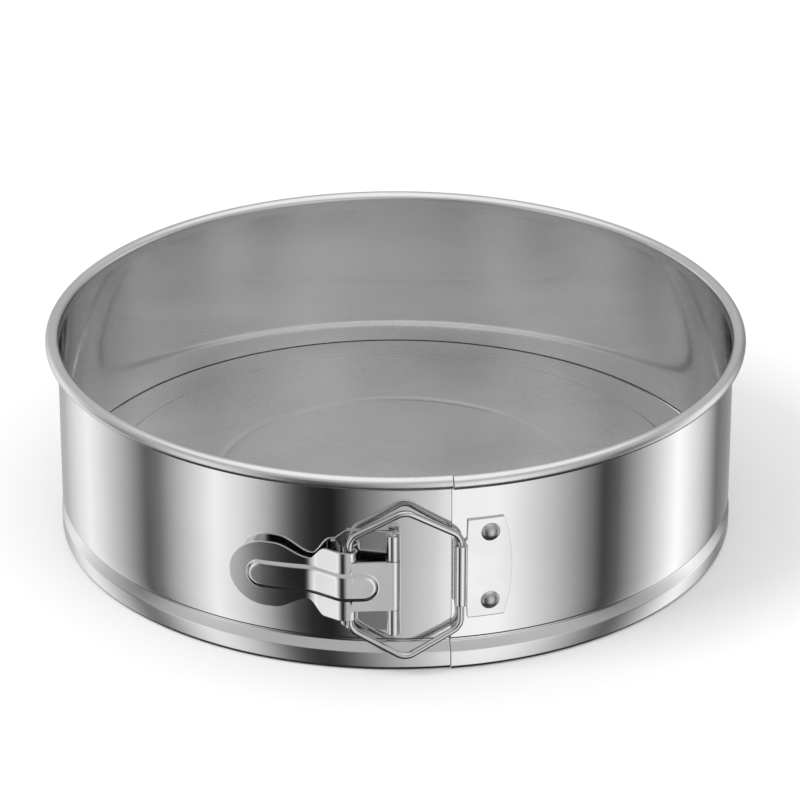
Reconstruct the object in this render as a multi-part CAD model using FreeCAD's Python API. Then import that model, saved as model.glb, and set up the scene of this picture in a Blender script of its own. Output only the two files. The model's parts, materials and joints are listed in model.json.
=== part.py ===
"""Springform pan with a lever latch, in millimetres.

The origin is on the pan's axis at floor level, +Z is up and the latch faces -Y.
Angles round the pan are measured from -Y towards +X.
"""
import FreeCAD, Part
import math
import os

from FreeCAD import Vector

# Side wall
WALL_RADIUS = 114.0
BAND_SHEET = 0.5
BAND_TOP = 70.3
RIM_RADIUS = 2.3
RIM_TURN = 300.0
RIM_WIRE_FIT = 0.05
SEAM_ANGLE = 9.1
SEAM_GAP = 0.3
LAP_CLEARANCE = 0.2
TONGUE_ANGLE = 4.2
TONGUE_MARGIN = 3.0
TONGUE_ROOT = 1.0

# Foot bead, as steps out from the wall and heights of its corners
FOOT_STEP = 0.3
FOOT_TOP = 6.3
FOOT_CORNER = 1.3
HEM_LENGTH = 2.2
GROOVE_DEPTH = 1.9
GROOVE_HEIGHT = 9.7
GROOVE_TOP = 11.4
GROOVE_CORNER = 0.6
BEAD_CORNER = 0.8
WALL_CORNER = 1.3

# Base plate
BASE_SHEET = 0.7
BASE_CLEARANCE = 0.6
BASE_REST = 0.15
BASE_STEP_WIDTH = 14.0
BASE_STEP_RISE = 1.2
BASE_CENTRE = 1.0

# Latch sheet, pin and wire
LATCH_SHEET = 0.9
LEVER_SHEET = 1.0
LAY = 0.05
RUNNING_FIT = 0.08
PIN_RADIUS = 1.25
PIN_X = -0.5
PIN_HEAD = 0.6
LEVER_WALL_GAP = 0.37
LATCH_Z = 33.0
LATCH_HEIGHT = 35.0
HINGE_LEFT_X = -20.5
HINGE_CHAMFER = 5.0
KNUCKLE_HEIGHT = 17.3
KNUCKLE_GAP = 0.15

# Lever
LEVER_TIP_X = -52.8
LEVER_RISE_RADIUS = 12.0
LEVER_DROP_X = -15.2
LEVER_DROP = 34.0
LEVER_DROP_RADIUS = 5.0
LEVER_DROP_END_X = -24.4
PADDLE_LEAN = 10.0
PADDLE_LEAN_RADIUS = 12.0
PADDLE_CURVE_RADIUS = 120.0
EAR_HEIGHT = 24.0
EAR_LEFT_X = -22.3
EAR_RIGHT_X = -13.6
TAB_HEIGHT = 3.2
TAB_ROOT = 0.7
TAB_CLEARANCE = 0.5
TAB_PLATE_GAP = 0.401
WAIST_X = -27.4
WAIST_HEIGHT = 14.4
PADDLE_RADIUS = 11.3
RIB_LEFT_X = -47.0
RIB_RIGHT_X = -5.5
RIB_WIDTH = 10.0
RIB_RISE = 0.9

# Bail
WIRE_RADIUS = 1.12
LEG_OFFSET = 13.9
LEG_HEIGHT = 32.3
APEX_HEIGHT = 52.5
APEX_BOW = 1.9
WIRE_BEND = 5.0
WIRE_END_GAP = 0.2

# Catch
CATCH_X = 21.0
CATCH_RIGHT_X = 34.6
CATCH_SHOULDER_X = 23.3
CATCH_HEIGHT = 34.8
CATCH_CURL_HEIGHT = 21.2
CATCH_CURL_DROP = 1.0
CATCH_CORNER = 2.0
CATCH_Z = 36.3
CATCH_BULGE = 2.6
CURL_TURN = 300.0

# Rivets
RIVET_ANGLE = 15.3
RIVET_RISE = 3.7
RIVET_SPACING = 24.4
RIVET_HEAD = 3.1
RIVET_DOME = 1.7
RIVET_SHANK = 1.5
RIVET_TAIL = 0.15
HINGE_RIVET_X = -16.0
HINGE_RIVET_SPACING = 10.0
HINGE_RIVET_DOME = 0.6
HOLE_FIT = 0.05
HOLE_REACH = 5.0

UP = Vector(0, 0, 1)


class Ribbon:
    """A bent sheet seen on its edge: straight runs and arcs that meet smoothly."""

    def __init__(self, x, y, heading):
        self.point = Vector(x, y, 0)
        self.heading = math.radians(heading)
        self.runs = []

    def direction(self):
        return Vector(math.cos(self.heading), math.sin(self.heading), 0)

    def left(self):
        return Vector(-math.sin(self.heading), math.cos(self.heading), 0)

    def line(self, length):
        start, side = self.point, self.left()
        self.point = start + self.direction() * length
        self.runs.append(("line", start, side, self.point, side))
        return self

    def arc(self, radius, angle):
        """Turns left for a positive angle, right for a negative one."""
        turn = math.copysign(1, angle)
        start, side = self.point, self.left()
        centre = start + side * (radius * turn)
        half = self.heading + math.radians(angle) / 2
        middle_side = Vector(-math.sin(half), math.cos(half), 0)
        middle = centre - middle_side * (radius * turn)
        self.heading += math.radians(angle)
        self.point = centre - self.left() * (radius * turn)
        self.runs.append(("arc", start, side, self.point, self.left(), middle, middle_side))
        return self

    def along(self, points, radii):
        """Follows a cornered line, with each corner rounded to its radius."""
        spots = [self.point] + [Vector(x, y, 0) for x, y in points]
        used = 0.0
        for index, radius in enumerate(radii):
            before, here, after = spots[index:index + 3]
            heading_in = math.atan2(here.y - before.y, here.x - before.x)
            heading_out = math.atan2(after.y - here.y, after.x - here.x)
            turn = (heading_out - heading_in + math.pi) % (2 * math.pi) - math.pi
            trim = radius * math.tan(abs(turn) / 2)
            self.line((here - before).Length - used - trim)
            self.arc(radius, math.degrees(turn))
            used = trim
        self.line((spots[-1] - spots[-2]).Length - used)
        return self

    def side_edges(self, offset):
        edges = []
        for run in self.runs:
            first = run[1] + run[2] * offset
            last = run[3] + run[4] * offset
            if run[0] == "line":
                edges.append(Part.makeLine(first, last))
            else:
                edges.append(Part.Arc(first, run[5] + run[6] * offset, last).toShape())
        return edges

    def face(self, right, left):
        """The area between two offsets from the path."""
        near, far = self.side_edges(-right), self.side_edges(left)
        first, last = self.runs[0], self.runs[-1]
        caps = [
            Part.makeLine(first[1] - first[2] * right, first[1] + first[2] * left),
            Part.makeLine(last[3] - last[4] * right, last[3] + last[4] * left),
        ]
        edges = near + far + caps
        return Part.Face(Part.Wire(Part.__sortEdges__(edges)))


def save(name, shape):
    solid = shape.removeSplitter()
    if len(solid.Solids) != 1 or not solid.isValid():
        raise ValueError(f"{name}: {len(solid.Solids)} solids, valid {solid.isValid()}")
    solid.Solids[0].exportStep(f"parts/{name}.step")


def turned(shape, angle, centre=Vector(0, 0, 0)):
    copy = shape.copy()
    copy.rotate(centre, UP, angle)
    return copy


def ring(profile, start, sweep, centre_y=0.0):
    """Revolves a radius and height profile from one angle round the pan to another."""
    upright = profile.copy()
    upright.rotate(Vector(0, 0, 0), Vector(1, 0, 0), 90)
    solid = upright.revolve(Vector(0, 0, 0), UP, sweep)
    solid = turned(solid, start - 90)
    solid.translate(Vector(0, centre_y, 0))
    return solid


def plate(face, low, high):
    solid = face.extrude(UP * (high - low))
    solid.translate(UP * low)
    return solid


def front_prism(wire):
    """A tall block behind an outline drawn in X and Z, for cutting bent sheets."""
    reach = WALL_RADIUS
    outline = wire.copy()
    outline.translate(Vector(0, -1.5 * reach, 0))
    return Part.Face(outline).extrude(Vector(0, reach, 0))


def front_polygon(points):
    spots = [Vector(x, 0, z) for x, z in points]
    return Part.makePolygon(spots + spots[:1])


def slot_wire(left, right, radius, height):
    """A round-ended slot in X and Z."""
    start, end = left + radius, right - radius
    top, bottom = height + radius, height - radius
    return Part.Wire([
        Part.makeLine(Vector(start, 0, bottom), Vector(end, 0, bottom)),
        Part.Arc(Vector(end, 0, bottom), Vector(right, 0, height), Vector(end, 0, top)).toShape(),
        Part.makeLine(Vector(end, 0, top), Vector(start, 0, top)),
        Part.Arc(Vector(start, 0, top), Vector(left, 0, height), Vector(start, 0, bottom)).toShape(),
    ])


# Places that follow from the sizes above
HALF_SHEET = BAND_SHEET / 2
RIM_HEIGHT = BAND_TOP - RIM_RADIUS
RIM_CENTRE = WALL_RADIUS - BAND_SHEET + RIM_RADIUS
GAP_ANGLE = math.degrees(SEAM_GAP / WALL_RADIUS)

# The right half is drawn round a point that is set back, so it laps over the left half at
# the front and is flush with it at the back.
LAP_SHIFT = (BAND_SHEET + LAP_CLEARANCE) / 2
RIGHT_RADIUS = WALL_RADIUS + LAP_SHIFT

PIN_BORE = PIN_RADIUS + RUNNING_FIT
LEVER_KNUCKLE = PIN_BORE + LEVER_SHEET
PIN_DISTANCE = WALL_RADIUS + LEVER_WALL_GAP + LEVER_KNUCKLE
PIN = Vector(PIN_X, -math.sqrt(PIN_DISTANCE**2 - PIN_X**2), 0)
LATCH_LOW = LATCH_Z - LATCH_HEIGHT / 2
LATCH_TOP = LATCH_Z + LATCH_HEIGHT / 2

TAB_BORE = WIRE_RADIUS + TAB_CLEARANCE
CATCH_BORE = WIRE_RADIUS + RUNNING_FIT

# The lever's tabs clear the hinge plate, and that sets how far the lever's arm stands out.
LEG_DISTANCE = WALL_RADIUS + LAY + LATCH_SHEET + TAB_PLATE_GAP + LEVER_SHEET + TAB_BORE
LEG_X = PIN.x - LEG_OFFSET
LEG_LEFT = Vector(LEG_X, -math.sqrt(LEG_DISTANCE**2 - LEG_X**2), 0)
ARM_START_Y = PIN.y - PIN_BORE - LEVER_SHEET / 2
ARM_LEG_Y = LEG_LEFT.y - TAB_BORE - LEVER_SHEET / 2
LEVER_RISE = math.degrees(math.atan2(ARM_START_Y - ARM_LEG_Y, LEG_OFFSET))
CATCH_FACE = RIGHT_RADIUS + LAY + LATCH_SHEET / 2
CATCH_REACH = CATCH_FACE + LATCH_SHEET / 2 + CATCH_BORE
CATCH_CURL_ANGLE = math.degrees(math.asin(CATCH_X / CATCH_REACH))


def on_right_band(radius, angle):
    turn = math.radians(angle)
    return Vector(radius * math.sin(turn), -LAP_SHIFT - radius * math.cos(turn), 0)


LEG_RIGHT = on_right_band(CATCH_REACH, CATCH_CURL_ANGLE)


def lever_path():
    """The lever's sheet from the pin's front to the tip of its paddle."""
    path = Ribbon(PIN.x, ARM_START_Y, 180)
    path.arc(LEVER_RISE_RADIUS, LEVER_RISE)
    rise = math.radians(LEVER_RISE)
    path.line((path.point.x - LEVER_DROP_X) / math.cos(rise))
    path.arc(LEVER_DROP_RADIUS, -LEVER_RISE - LEVER_DROP)
    path.line((path.point.x - LEVER_DROP_END_X) / math.cos(math.radians(LEVER_DROP)))
    path.arc(PADDLE_LEAN_RADIUS, LEVER_DROP - PADDLE_LEAN)
    reach = (path.point.x - LEVER_TIP_X) / PADDLE_CURVE_RADIUS
    tip_lean = math.degrees(math.asin(math.sin(math.radians(PADDLE_LEAN)) + reach))
    path.arc(PADDLE_CURVE_RADIUS, PADDLE_LEAN - tip_lean)
    return path


def lever_outline():
    """The lever from the front: straight arm, two ears, waist and round paddle."""
    arm_half, ear_half, waist_half = KNUCKLE_HEIGHT / 2, EAR_HEIGHT / 2, WAIST_HEIGHT / 2
    paddle_x = LEVER_TIP_X + PADDLE_RADIUS

    def spot(x, z):
        return Vector(x, 0, LATCH_Z + z)

    def neck(sign):
        curve = Part.BSplineCurve()
        points = [(EAR_LEFT_X, ear_half), (WAIST_X, waist_half), (paddle_x, PADDLE_RADIUS)]
        curve.interpolate(
            Points=[spot(x, sign * z) for x, z in points],
            Tangents=[Vector(-1, 0, 0)] * 3,
            TangentFlags=[True] * 3,
        )
        return curve.toShape()

    def side(sign):
        corners = [(PIN_X + 1, arm_half), (EAR_RIGHT_X, arm_half), (EAR_RIGHT_X, ear_half), (EAR_LEFT_X, ear_half)]
        spots = [spot(x, sign * z) for x, z in corners]
        return [Part.makeLine(here, after) for here, after in zip(spots, spots[1:])] + [neck(sign)]

    paddle = Part.Arc(
        spot(paddle_x, PADDLE_RADIUS), spot(LEVER_TIP_X, 0), spot(paddle_x, -PADDLE_RADIUS)
    ).toShape()
    start = Part.makeLine(spot(PIN_X + 1, -arm_half), spot(PIN_X + 1, arm_half))
    edges = side(1) + side(-1) + [paddle, start]
    return Part.Wire(Part.__sortEdges__(edges))


def lever_sheet_y(x):
    """The middle of the lever's arm between the pin and the bend."""
    return ARM_START_Y - (PIN.x - x) * math.tan(math.radians(LEVER_RISE))


def band_profile(radius):
    """The wall in radius and height, from the hem to the edge rolled over at the rim."""
    wall = radius - HALF_SHEET
    foot = wall + FOOT_STEP
    path = Ribbon(foot - HEM_LENGTH, HALF_SHEET, 0)
    corners = [
        (foot, HALF_SHEET),
        (foot, FOOT_TOP),
        (wall - GROOVE_DEPTH, GROOVE_HEIGHT),
        (wall, GROOVE_TOP),
        (wall, RIM_HEIGHT),
    ]
    path.along(corners, [FOOT_CORNER, BEAD_CORNER, GROOVE_CORNER, WALL_CORNER])
    path.arc(RIM_RADIUS - HALF_SHEET, -RIM_TURN)
    return path.face(HALF_SHEET, HALF_SHEET)


def rivet_hole(radius, angle, height, centre_y):
    axis_turn = math.radians(angle)
    outward = Vector(math.sin(axis_turn), -math.cos(axis_turn), 0)
    start = outward * (radius - HOLE_REACH) + Vector(0, centre_y, height)
    return Part.makeCylinder(RIVET_SHANK + HOLE_FIT, 2 * HOLE_REACH, start, outward)


def rivet(surface, depth, angle, height, centre_y, dome):
    """A domed head on the surface, with its shank through the sheets to the inside."""
    chord = (RIVET_HEAD**2 + dome**2) / (2 * dome)
    head = Part.makeSphere(chord, Vector(0, 0, dome - chord))
    head = head.common(Part.makeCylinder(RIVET_HEAD, dome + LAY, Vector(0, 0, 0)))
    shank = Part.makeCylinder(RIVET_SHANK, depth + LAY, Vector(0, 0, -depth))
    solid = head.fuse(shank)
    solid.rotate(Vector(0, 0, 0), Vector(1, 0, 0), 90)
    solid.translate(Vector(0, -surface, 0))
    solid = turned(solid, angle)
    solid.translate(Vector(0, centre_y, height))
    return solid


CATCH_RIVETS = [LATCH_Z + RIVET_RISE + RIVET_SPACING / 2, LATCH_Z + RIVET_RISE - RIVET_SPACING / 2]
HINGE_RIVETS = [LATCH_Z + HINGE_RIVET_SPACING / 2, LATCH_Z - HINGE_RIVET_SPACING / 2]
HINGE_RIVET_ANGLE = math.degrees(math.asin(HINGE_RIVET_X / WALL_RADIUS))


def band_left():
    band = ring(band_profile(WALL_RADIUS), SEAM_ANGLE - GAP_ANGLE, -180 - SEAM_ANGLE + 2 * GAP_ANGLE)
    low, high = GROOVE_TOP + TONGUE_MARGIN, RIM_HEIGHT - RIM_RADIUS - TONGUE_MARGIN
    strip = Part.makePolygon([
        Vector(WALL_RADIUS - BAND_SHEET, low, 0),
        Vector(WALL_RADIUS, low, 0),
        Vector(WALL_RADIUS, high, 0),
        Vector(WALL_RADIUS - BAND_SHEET, high, 0),
        Vector(WALL_RADIUS - BAND_SHEET, low, 0),
    ])
    tongue = ring(Part.Face(strip), SEAM_ANGLE - TONGUE_ROOT, TONGUE_ANGLE + TONGUE_ROOT)
    band = band.fuse(tongue)
    for height in HINGE_RIVETS:
        band = band.cut(rivet_hole(WALL_RADIUS, HINGE_RIVET_ANGLE, height, 0))
    return band


def band_right():
    band = ring(band_profile(RIGHT_RADIUS), SEAM_ANGLE, 180 - SEAM_ANGLE, -LAP_SHIFT)
    for height in CATCH_RIVETS:
        band = band.cut(rivet_hole(RIGHT_RADIUS, RIVET_ANGLE, height, -LAP_SHIFT))
    return band


def rim_wire(radius, start, sweep, centre_y):
    section = Part.makeCircle(RIM_RADIUS - BAND_SHEET - RIM_WIRE_FIT, Vector(radius, RIM_HEIGHT, 0))
    return ring(Part.Face(Part.Wire(section)), start, sweep, centre_y)


def base_plate():
    """A disc with a raised middle that rests on the bead inside the foot."""
    edge = WALL_RADIUS - BAND_SHEET - BASE_CLEARANCE
    low = GROOVE_TOP + BASE_REST + BASE_SHEET / 2
    high = low + BASE_STEP_RISE
    step = edge - BASE_STEP_WIDTH
    path = Ribbon(edge, low, 180)
    corners = [(step + BASE_STEP_RISE, low), (step, high), (BASE_CENTRE, high)]
    path.along(corners, [BASE_SHEET * 1.5, BASE_SHEET * 1.5])
    disc = ring(path.face(BASE_SHEET / 2, BASE_SHEET / 2), 0, 360)
    middle = Part.makeCylinder(1.5 * BASE_CENTRE, BASE_SHEET, Vector(0, 0, high - BASE_SHEET / 2))
    return disc.fuse(middle)


def hinge_plate():
    """A plate on the wall that leaves it along a straight run and curls round the pin."""
    face_radius = WALL_RADIUS + LAY + LATCH_SHEET / 2
    curl = PIN_BORE + LATCH_SHEET / 2
    spread = math.degrees(math.acos((face_radius + curl) / PIN_DISTANCE))
    pin_angle = math.degrees(math.asin(PIN_X / PIN_DISTANCE))
    leave = pin_angle - spread
    start = math.degrees(math.asin(HINGE_LEFT_X / face_radius))
    turn = math.radians(start)
    path = Ribbon(face_radius * math.sin(turn), -face_radius * math.cos(turn), start)
    path.arc(face_radius, leave - start)
    path.line(math.sqrt(PIN_DISTANCE**2 - (face_radius + curl)**2))
    path.arc(curl, -CURL_TURN)
    half = LATCH_SHEET / 2
    solid = plate(path.face(half, half), LATCH_LOW, LATCH_TOP)
    window_left = PIN_X - LEVER_KNUCKLE - LEVER_WALL_GAP
    window_half = KNUCKLE_HEIGHT / 2 + KNUCKLE_GAP
    window = front_prism(front_polygon([
        (window_left, LATCH_Z - window_half),
        (CATCH_X, LATCH_Z - window_half),
        (CATCH_X, LATCH_Z + window_half),
        (window_left, LATCH_Z + window_half),
    ]))
    left, right = HINGE_LEFT_X - 1, PIN_X + 2 * LEVER_KNUCKLE
    outline = front_prism(front_polygon([
        (left + 1 + HINGE_CHAMFER, LATCH_LOW),
        (right, LATCH_LOW),
        (right, LATCH_TOP),
        (left + 1 + HINGE_CHAMFER, LATCH_TOP),
        (left, LATCH_TOP - HINGE_CHAMFER),
        (left, LATCH_LOW + HINGE_CHAMFER),
    ]))
    solid = solid.common(outline).cut(window)
    for height in HINGE_RIVETS:
        solid = solid.cut(rivet_hole(WALL_RADIUS, HINGE_RIVET_ANGLE, height, 0))
    return solid


def hinge_pin():
    body = Part.makeCylinder(PIN_RADIUS, LATCH_HEIGHT, PIN + UP * LATCH_LOW)
    for end, direction in ((LATCH_LOW, -1), (LATCH_TOP, 1)):
        start = PIN + UP * (end + direction * LAY)
        cap = Part.makeCylinder(PIN_RADIUS + LATCH_SHEET / 2, PIN_HEAD, start, UP * direction)
        neck = Part.makeCylinder(PIN_RADIUS, LAY, PIN + UP * end, UP * direction)
        body = body.fuse(neck).fuse(cap)
    return body


def lever():
    path = lever_path()
    half = LEVER_SHEET / 2
    reach = EAR_HEIGHT / 2 + 1
    sheet = plate(path.face(half, half), LATCH_Z - reach, LATCH_Z + reach)
    arm_half, ear_half = KNUCKLE_HEIGHT / 2, EAR_HEIGHT / 2
    solid = sheet.common(front_prism(lever_outline()))

    rib = plate(path.face(0, half + RIB_RISE), LATCH_Z - RIB_WIDTH, LATCH_Z + RIB_WIDTH)
    rib = rib.common(front_prism(slot_wire(RIB_LEFT_X, RIB_RIGHT_X, RIB_WIDTH / 2, LATCH_Z)))
    hollow = plate(path.face(half, half + RIB_RISE - LEVER_SHEET), LATCH_Z - RIB_WIDTH, LATCH_Z + RIB_WIDTH)
    pocket = slot_wire(
        RIB_LEFT_X + LEVER_SHEET, RIB_RIGHT_X - LEVER_SHEET, RIB_WIDTH / 2 - LEVER_SHEET, LATCH_Z
    )
    solid = solid.fuse(rib).cut(hollow.common(front_prism(pocket)))

    curl = Ribbon(PIN.x, ARM_START_Y, 0)
    curl.arc(PIN_BORE + half, CURL_TURN)
    solid = solid.fuse(plate(curl.face(half, half), LATCH_Z - arm_half, LATCH_Z + arm_half))

    root_x = LEG_LEFT.x - TAB_ROOT
    tab = Ribbon(root_x, lever_sheet_y(root_x), LEVER_RISE)
    tab.line(TAB_ROOT / math.cos(math.radians(LEVER_RISE)))
    tab.arc(TAB_BORE + half, 180)
    for low in (LATCH_Z + ear_half - TAB_HEIGHT, LATCH_Z - ear_half):
        solid = solid.fuse(plate(tab.face(half, half), low, low + TAB_HEIGHT))
    return solid


def bail():
    """A six-sided wire loop whose ends meet inside the catch."""
    middle = (LEG_LEFT + LEG_RIGHT) / 2 + Vector(0, -APEX_BOW, 0)
    leg, apex = LEG_HEIGHT / 2, APEX_HEIGHT / 2
    spots = [
        LEG_RIGHT + UP * (LATCH_Z + WIRE_END_GAP / 2),
        LEG_RIGHT + UP * (LATCH_Z + leg),
        middle + UP * (LATCH_Z + apex),
        LEG_LEFT + UP * (LATCH_Z + leg),
        LEG_LEFT + UP * (LATCH_Z - leg),
        middle + UP * (LATCH_Z - apex),
        LEG_RIGHT + UP * (LATCH_Z - leg),
        LEG_RIGHT + UP * (LATCH_Z - WIRE_END_GAP / 2),
    ]
    edges = []
    start = spots[0]
    for before, here, after in zip(spots, spots[1:], spots[2:]):
        back = (before - here).normalize()
        ahead = (after - here).normalize()
        half = back.getAngle(ahead) / 2
        trim = WIRE_BEND / math.tan(half)
        inward = (back + ahead).normalize()
        entry, leave = here + back * trim, here + ahead * trim
        nearest = here + inward * (WIRE_BEND / math.sin(half) - WIRE_BEND)
        edges.append(Part.makeLine(start, entry))
        edges.append(Part.Arc(entry, nearest, leave).toShape())
        start = leave
    edges.append(Part.makeLine(start, spots[-1]))
    section = Part.Wire(Part.makeCircle(WIRE_RADIUS, spots[0], UP))
    return Part.Wire(edges).makePipeShell([section], True, True)


def catch_plate():
    half = LATCH_SHEET / 2
    right = math.degrees(math.asin((CATCH_RIGHT_X + CATCH_BULGE) / CATCH_FACE))
    start = on_right_band(CATCH_FACE, right)
    path = Ribbon(start.x, start.y, 180 + right)
    path.arc(CATCH_FACE, CATCH_CURL_ANGLE - right)
    path.arc(CATCH_BORE + half, CURL_TURN)
    solid = plate(path.face(half, half), CATCH_Z - CATCH_HEIGHT, CATCH_Z + CATCH_HEIGHT)
    top, bottom = CATCH_Z + CATCH_HEIGHT / 2, CATCH_Z - CATCH_HEIGHT / 2
    curl_z = CATCH_Z - CATCH_CURL_DROP
    curl_top, curl_bottom = curl_z + CATCH_CURL_HEIGHT / 2, curl_z - CATCH_CURL_HEIGHT / 2
    left = CATCH_X - 3 * CATCH_BORE
    bulge = Part.Arc(
        Vector(CATCH_RIGHT_X, 0, bottom),
        Vector(CATCH_RIGHT_X + CATCH_BULGE, 0, CATCH_Z),
        Vector(CATCH_RIGHT_X, 0, top),
    ).toShape()
    spots = [
        Vector(CATCH_RIGHT_X, 0, top),
        Vector(CATCH_SHOULDER_X, 0, top),
        Vector(CATCH_SHOULDER_X, 0, curl_top + CATCH_CORNER),
        Vector(CATCH_SHOULDER_X - CATCH_CORNER, 0, curl_top),
        Vector(left, 0, curl_top),
        Vector(left, 0, curl_bottom),
        Vector(CATCH_SHOULDER_X - CATCH_CORNER, 0, curl_bottom),
        Vector(CATCH_SHOULDER_X, 0, curl_bottom - CATCH_CORNER),
        Vector(CATCH_SHOULDER_X, 0, bottom),
        Vector(CATCH_RIGHT_X, 0, bottom),
    ]
    outline = Part.Wire([bulge] + [Part.makeLine(a, b) for a, b in zip(spots, spots[1:])])
    solid = solid.common(front_prism(outline))
    for height in CATCH_RIVETS:
        solid = solid.cut(rivet_hole(RIGHT_RADIUS, RIVET_ANGLE, height, -LAP_SHIFT))
    return solid


def main():
    os.makedirs("parts", exist_ok=True)
    save("band_left", band_left())
    save("band_right", band_right())
    left_sweep = -180 - SEAM_ANGLE + 2 * GAP_ANGLE
    save("rim_wire_left", rim_wire(RIM_CENTRE, SEAM_ANGLE - GAP_ANGLE, left_sweep, 0))
    save("rim_wire_right", rim_wire(RIM_CENTRE + LAP_SHIFT, SEAM_ANGLE, 180 - SEAM_ANGLE, -LAP_SHIFT))
    save("base_plate", base_plate())
    save("hinge_plate", hinge_plate())
    save("hinge_pin", hinge_pin())
    save("lever", lever())
    save("bail", bail())
    save("catch_plate", catch_plate())
    stack = LAY + LATCH_SHEET + LAY
    for name, height in zip(("upper", "lower"), CATCH_RIVETS):
        depth = stack + BAND_SHEET + RIVET_TAIL
        solid = rivet(RIGHT_RADIUS + stack, depth, RIVET_ANGLE, height, -LAP_SHIFT, RIVET_DOME)
        save(f"catch_rivet_{name}", solid)
    for name, height in zip(("upper", "lower"), HINGE_RIVETS):
        depth = stack + BAND_SHEET + RIVET_TAIL
        solid = rivet(WALL_RADIUS + stack, depth, HINGE_RIVET_ANGLE, height, 0, HINGE_RIVET_DOME)
        save(f"hinge_rivet_{name}", solid)


main()
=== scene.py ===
# %% [markdown]
# A springform pan: a springy side wall with a rolled rim, a loose base, and a lever latch that
# pulls the wall tight round the base.
# The imported model is loaded first as a fixed frame. It says where every piece is and what moves,
# so each new piece takes its place and size from it.

# %% Load the frame
import json
import math

import bpy
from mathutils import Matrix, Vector

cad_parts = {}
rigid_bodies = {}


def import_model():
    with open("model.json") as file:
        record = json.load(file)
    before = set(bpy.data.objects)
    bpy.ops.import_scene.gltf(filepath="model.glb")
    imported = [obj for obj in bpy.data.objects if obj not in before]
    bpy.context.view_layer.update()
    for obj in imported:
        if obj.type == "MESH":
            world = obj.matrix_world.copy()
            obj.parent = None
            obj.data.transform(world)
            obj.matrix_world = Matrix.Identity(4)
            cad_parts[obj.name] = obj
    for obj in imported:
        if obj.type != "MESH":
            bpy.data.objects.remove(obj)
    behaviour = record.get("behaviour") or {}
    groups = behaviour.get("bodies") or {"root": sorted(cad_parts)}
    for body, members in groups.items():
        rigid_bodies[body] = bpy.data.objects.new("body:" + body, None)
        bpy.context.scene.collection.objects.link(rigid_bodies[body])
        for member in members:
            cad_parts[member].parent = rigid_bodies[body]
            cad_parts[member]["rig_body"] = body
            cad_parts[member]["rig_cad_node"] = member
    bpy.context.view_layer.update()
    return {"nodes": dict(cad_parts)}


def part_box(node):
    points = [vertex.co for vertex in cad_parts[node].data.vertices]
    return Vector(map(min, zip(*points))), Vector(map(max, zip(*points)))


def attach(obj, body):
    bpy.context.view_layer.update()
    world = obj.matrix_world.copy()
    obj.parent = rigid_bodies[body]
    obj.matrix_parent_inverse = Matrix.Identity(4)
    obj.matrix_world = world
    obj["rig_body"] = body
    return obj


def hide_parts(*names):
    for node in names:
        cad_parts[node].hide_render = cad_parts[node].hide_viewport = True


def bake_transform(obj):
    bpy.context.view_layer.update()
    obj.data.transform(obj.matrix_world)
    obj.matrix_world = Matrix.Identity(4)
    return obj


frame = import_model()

# %% [markdown]
# The sizes that shape the wall. The scene is in metres and a pan is thought of in millimetres, so
# each size is written in millimetres times MM. The wall's radius and height are read back from
# the frame instead of typed again, so that the fine wall made here lies on the solid one.

# %% Sizes
MM = 0.001
SHEET = 0.5 * MM
RIM_RADIUS = 2.3 * MM
RIM_TURN = math.radians(300)
FOOT_STEP = 0.3 * MM
FOOT_TOP = 6.3 * MM
FOOT_CORNER = 1.3 * MM
HEM_LENGTH = 2.2 * MM
GROOVE_DEPTH = 1.9 * MM
GROOVE_HEIGHT = 9.7 * MM
GROOVE_TOP = 11.4 * MM
GROOVE_CORNER = 0.6 * MM
BEAD_CORNER = 0.8 * MM
WALL_CORNER = 1.3 * MM
SEAM = math.radians(9.1)
SEAM_GAP = 0.3 * MM
LAP_SHIFT = 0.35 * MM
quarter = math.pi / 2

rim_low, rim_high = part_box("band_left")
WALL_RADIUS = -rim_low.x - 2 * RIM_RADIUS + SHEET
BAND_TOP = rim_high.z
print("wall radius, mm:", round(WALL_RADIUS / MM, 2), "height, mm:", round(BAND_TOP / MM, 2))

# %% [markdown]
# Small helpers keep each later step short. They add a primitive, work on it in edit mode, apply a
# modifier and shade it. An operator acts on all that is selected, so everything is deselected
# first.


# %% Helpers for pieces
def deselect():
    bpy.ops.object.select_all(action="DESELECT")


def only(piece):
    """Selects one piece and makes it the active one."""
    deselect()
    piece.select_set(True)
    bpy.context.view_layer.objects.active = piece
    return piece


def added(name):
    """Names the primitive that was just added."""
    piece = bpy.context.view_layer.objects.active
    piece.name = piece.data.name = name
    return only(piece)


def in_edit_mode(piece, *steps):
    """Runs edit-mode operators on everything in the piece."""
    only(piece)
    bpy.ops.object.mode_set(mode="EDIT")
    bpy.ops.mesh.select_all(action="SELECT")
    for step in steps:
        step()
    bpy.ops.object.mode_set(mode="OBJECT")
    return piece


def settle(piece):
    """Puts the object at the origin, unturned and unscaled, with its place in its mesh."""
    only(piece)
    bpy.ops.object.transform_apply(location=True, rotation=True, scale=True)
    return piece


def modified(piece, kind, **settings):
    """Adds a modifier and applies it."""
    only(piece)
    modifier = piece.modifiers.new(kind.title(), kind)
    for key, value in settings.items():
        setattr(modifier, key, value)
    bpy.ops.object.modifier_apply(modifier=modifier.name)
    return piece


def smooth(piece, degrees=35):
    only(piece)
    bpy.ops.object.shade_smooth_by_angle(angle=math.radians(degrees))
    return piece


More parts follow.
